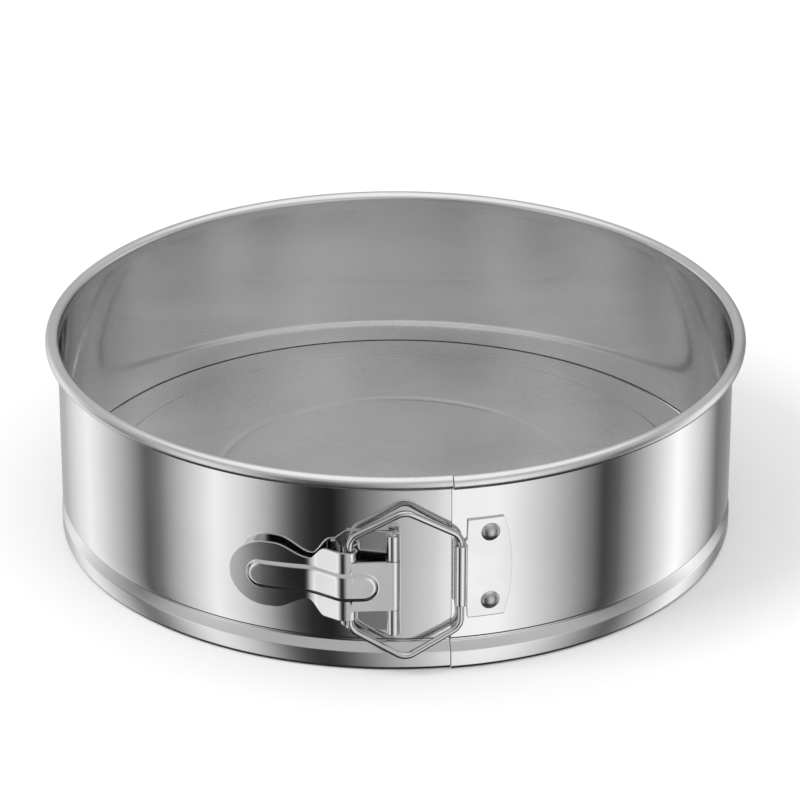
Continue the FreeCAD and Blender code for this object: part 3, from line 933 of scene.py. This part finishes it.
core_steel = latch_steel("plain core wire", (0.55, 0.55, 0.555), gloss=0.3, fine=0.2)
for node in ("rim_wire_left", "rim_wire_right"):
    slots = frame["nodes"][node].data.materials
    slots.clear()
    slots.append(core_steel)
print("pieces kept from the frame:", len(kept) + 2)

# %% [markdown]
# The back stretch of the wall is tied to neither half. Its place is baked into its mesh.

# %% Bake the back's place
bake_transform(back)

# %% [markdown]
# The pan stands on a pale, matt floor that runs out of sight. It isn't seen in the metal, because
# a bright floor there would wash out the dark lines under each bead and wire.


# %% The floor
FLOOR_SIZE = 12
FLOOR_GAP = 0.02 * MM


def floor_finish():
    finish = Finish("pale floor")
    cloud = finish.noise(3.0, finish.place(), 2.0)
    pale = finish.mixed(cloud, (0.9, 0.9, 0.9), (0.92, 0.92, 0.92))
    finish.set(Base_Color=pale, Roughness=0.9)
    return finish.material


deselect()
bpy.ops.mesh.primitive_plane_add(size=FLOOR_SIZE, location=(0, 0, -FLOOR_GAP))
floor = settle(added("floor"))
floor.data.materials.append(floor_finish())
floor.visible_glossy = False
print("floor size, m:", FLOOR_SIZE)

# %% [markdown]
# Polished metal looks like what is round it. A studio stands white cards round a pan, with dark
# gaps between them, and each gap shows as a dark band on the wall. One tall tube takes their
# place: a colour ramp by the angle round the pan makes the cards and gaps. The tube is dark near
# the floor and grey overhead, under a brighter lid. It is seen only in the metal, and gives no
# light to the floor.


# %% The studio cards
CARD_POWER = 1.25
TUBE_RADIUS = 1.1
TUBE_HEIGHT = 3.0
ROOF_START, ROOF_END = 0.0, 0.7
TOP_START, TOP_END = 1.2, 1.45
DARK_START, DARK_END = -1.15, -0.75


def card_finish():
    """Bright and dark cards round the pan, by the angle from the front."""
    finish = Finish("studio cards")
    nodes = finish.tree.nodes
    nodes.remove(finish.shader)
    place = finish.place()
    x, y, z = (finish.node("ShaderNodeSeparateXYZ", None, [place], output=axis) for axis in "XYZ")
    angle = finish.node("ShaderNodeMath", {"operation": "ARCTAN2"}, [x, 0 - y])
    share = angle * (1 / (2 * math.pi)) + 0.5
    cards = [(-179, 0.35), (-150, 0.4), (-135, 0.69), (-124, 0.87), (-115, 0.72), (-101, 0.4),
             (-89, 0.09), (-83, 0.15), (-78, 0.32), (-69, 0.6), (-60, 0.88), (-50, 0.67),
             (-41, 0.39), (-37, 0.21), (-32, 0.07), (-27, 0.025), (-20, 0.012), (-16, 0.045),
             (-6, 0.25), (2, 0.43), (13, 0.6), (19, 0.86), (33, 0.88), (45, 0.64), (58, 0.36),
             (71, 0.045), (77, 0.1), (88, 0.4), (107, 1.0), (122, 0.6), (137, 0.15), (170, 0.35)]
    ramp = finish.node("ShaderNodeValToRGB",
                       {"stops": [(0.5 + turn / 360, grey) for turn, grey in cards]}, [share])
    high = finish.clamped(z, ROOF_START, ROOF_END)
    low = 1 - finish.clamped(z, DARK_START, DARK_END)
    mix = {"data_type": "RGBA"}
    top = finish.clamped(z, TOP_START, TOP_END)
    roof = finish.mixed(top, (0.42, 0.42, 0.42), (0.85, 0.85, 0.85))
    lifted = finish.node("ShaderNodeMix", mix, {0: high, 6: ramp, 7: roof}, 2)
    glow = finish.node("ShaderNodeMix", mix, {0: low, 6: lifted, 7: (0.02, 0.02, 0.02, 1)}, 2)
    light = finish.node("ShaderNodeEmission", None, {"Color": glow, "Strength": CARD_POWER})
    finish.tree.links.new(light.socket, nodes["Material Output"].inputs["Surface"])
    return finish.material


deselect()
bpy.ops.mesh.primitive_cylinder_add(vertices=96, radius=TUBE_RADIUS, depth=TUBE_HEIGHT,
                                    end_fill_type="NGON")
cards = settle(added("studio_cards"))
cards.data.materials.append(card_finish())
cards.visible_camera = cards.visible_diffuse = cards.visible_shadow = False
print("cards round the pan, m:", TUBE_RADIUS, TUBE_HEIGHT)

# %% [markdown]
# Two large soft lamps give the floor its even light and the soft shadow, mostly to the right. The
# cards already make the metal's highlights, so the lamps aren't seen in it.


# %% The lights
LAMP_AIM = Vector((0, 0, 0.03))
SKY_GREY = 0.95
SKY_STRENGTH = 0.95


def area(name, place, size, power):
    deselect()
    bpy.ops.object.light_add(type="AREA", location=place)
    light = bpy.context.view_layer.objects.active
    light.name = name
    light.data.size = size
    light.data.energy = power
    aim = LAMP_AIM - Vector(place)
    light.rotation_euler = aim.to_track_quat("-Z", "Y").to_euler()
    light.visible_glossy = False
    print(name, "watts:", power)


area("key light", (-0.9, -0.5, 1.3), size=0.7, power=9.0)
area("fill light", (0.6, -1.2, 1.2), size=1.4, power=5.0)

world = bpy.data.worlds.new("studio")
bpy.context.scene.world = world
world.use_nodes = True
sky = world.node_tree.nodes["Background"].inputs
sky["Color"].default_value = (SKY_GREY, SKY_GREY, SKY_GREY, 1)
sky["Strength"].default_value = SKY_STRENGTH
bpy.context.scene.view_settings.view_transform = "Standard"

# %% [markdown]
# The camera looks down on the front of the pan through a long lens, which keeps the rim's and the
# foot's ellipses nearly alike. A small shift frames the pan without turning the camera.

# %% The camera
ELEVATION = math.radians(25.5)
DISTANCE = 1.5
AIM = Vector((0, 0, 0.042))
LENS = 198
SHIFT = 0.00625
camera_data = bpy.data.cameras.new("camera")
camera = bpy.data.objects.new("camera", camera_data)
bpy.context.scene.collection.objects.link(camera)
bpy.context.scene.camera = camera
camera_data.sensor_width = 36
camera_data.lens = LENS
camera_data.shift_x = SHIFT
back_off = Vector((0, -math.cos(ELEVATION), math.sin(ELEVATION)))
camera.location = AIM + back_off * DISTANCE
camera.rotation_euler = (quarter - ELEVATION, 0, 0)
print("camera at", tuple(round(part, 3) for part in camera.location))
